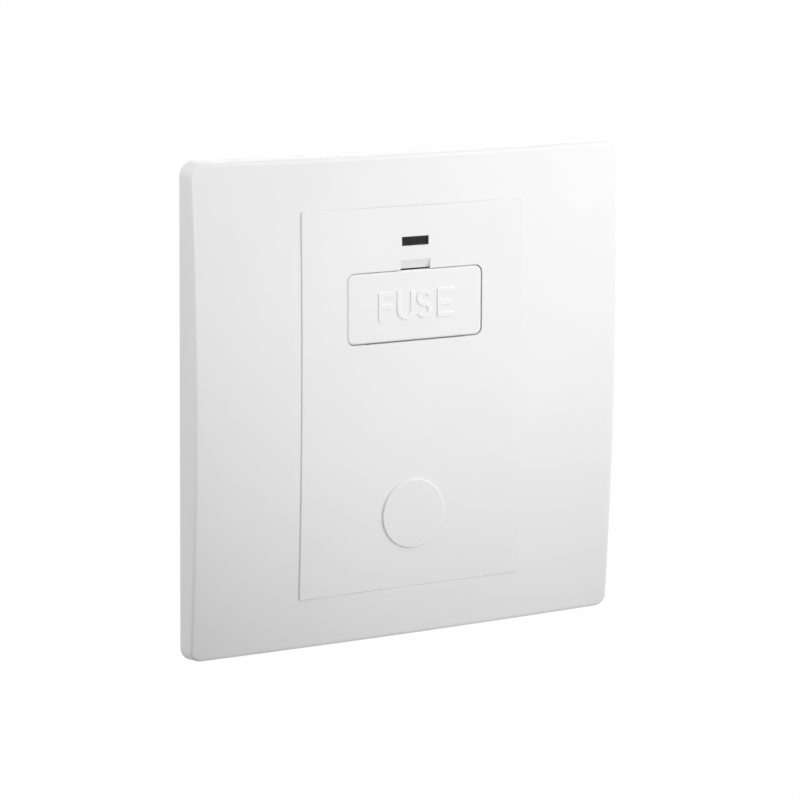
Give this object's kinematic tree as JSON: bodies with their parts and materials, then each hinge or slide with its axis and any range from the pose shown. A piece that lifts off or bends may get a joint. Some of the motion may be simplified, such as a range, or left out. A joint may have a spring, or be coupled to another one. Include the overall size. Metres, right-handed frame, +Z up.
{
  "type": "fused spur unit",
  "caption": "Square flush wall unit with a drop-down cartridge fuse carrier, an indicator window and a blanked cord outlet behind a clip-on crowned plate.",
  "frame": {"origin": "middle of the wall plane, behind the centre of the plate", "axes": "+X to the right seen from the front, +Y into the wall, +Z up"},
  "size_m": [0.086, 0.0263, 0.086],
  "materials": {
    "white_plastic": "satin moulded plastic",
    "housing_plastic": "matt moulded plastic",
    "fuse_ceramic": "unglazed ceramic tube",
    "plated_metal": "nickel-plated brass cap",
    "contact_brass": "stamped brass strip",
    "terminal_brass": "machined brass",
    "screw_brass": "turned brass",
    "screw_steel": "zinc-plated steel",
    "lens_plastic": "dark translucent plastic",
    "lamp_glass": "clear glass bulb",
    "resistor_body": "lacquered ceramic",
    "lead_wire": "tinned wire"
  },
  "bodies": {
    "base": {"front_moulding": "white_plastic", "rear_housing": "housing_plastic", "cord_clamp": "housing_plastic", "supply_contact": "contact_brass", "load_contact": "contact_brass", "neutral_link": "contact_brass", "earth_link": "contact_brass", "supply_live_terminal": "terminal_brass", "supply_neutral_terminal": "terminal_brass", "supply_earth_terminal": "terminal_brass", "load_live_terminal": "terminal_brass", "load_neutral_terminal": "terminal_brass", "load_earth_terminal": "terminal_brass", "terminal_screws": "screw_brass", "housing_screws": "screw_steel", "cord_clamp_screws": "screw_steel", "indicator_lens": "lens_plastic", "indicator_lamp": "lamp_glass", "lamp_resistor": "resistor_body", "lamp_lead_load": "lead_wire", "lamp_lead_neutral": "lead_wire"},
    "cover_plate": {"cover_plate": "white_plastic"},
    "fuse_carrier": {"fuse_carrier": "white_plastic", "fuse_barrel": "fuse_ceramic", "fuse_caps": "plated_metal"},
    "outlet_plug": {"outlet_plug": "white_plastic"}
  },
  "joints": [
    {"name": "cover_pull", "type": "slide", "parent": "base", "child": "cover_plate", "axis": [0, -1, 0], "range_m": [0, 0.012]},
    {"name": "carrier_swing", "type": "hinge", "parent": "base", "child": "fuse_carrier", "pos_m": [0, -0.00461, 0.01329], "axis": [1, 0, 0], "range_deg": [0, 80]},
    {"name": "plug_pull", "type": "slide", "parent": "base", "child": "outlet_plug", "axis": [0, -1, 0], "range_m": [0, 0.008]}
  ]
}
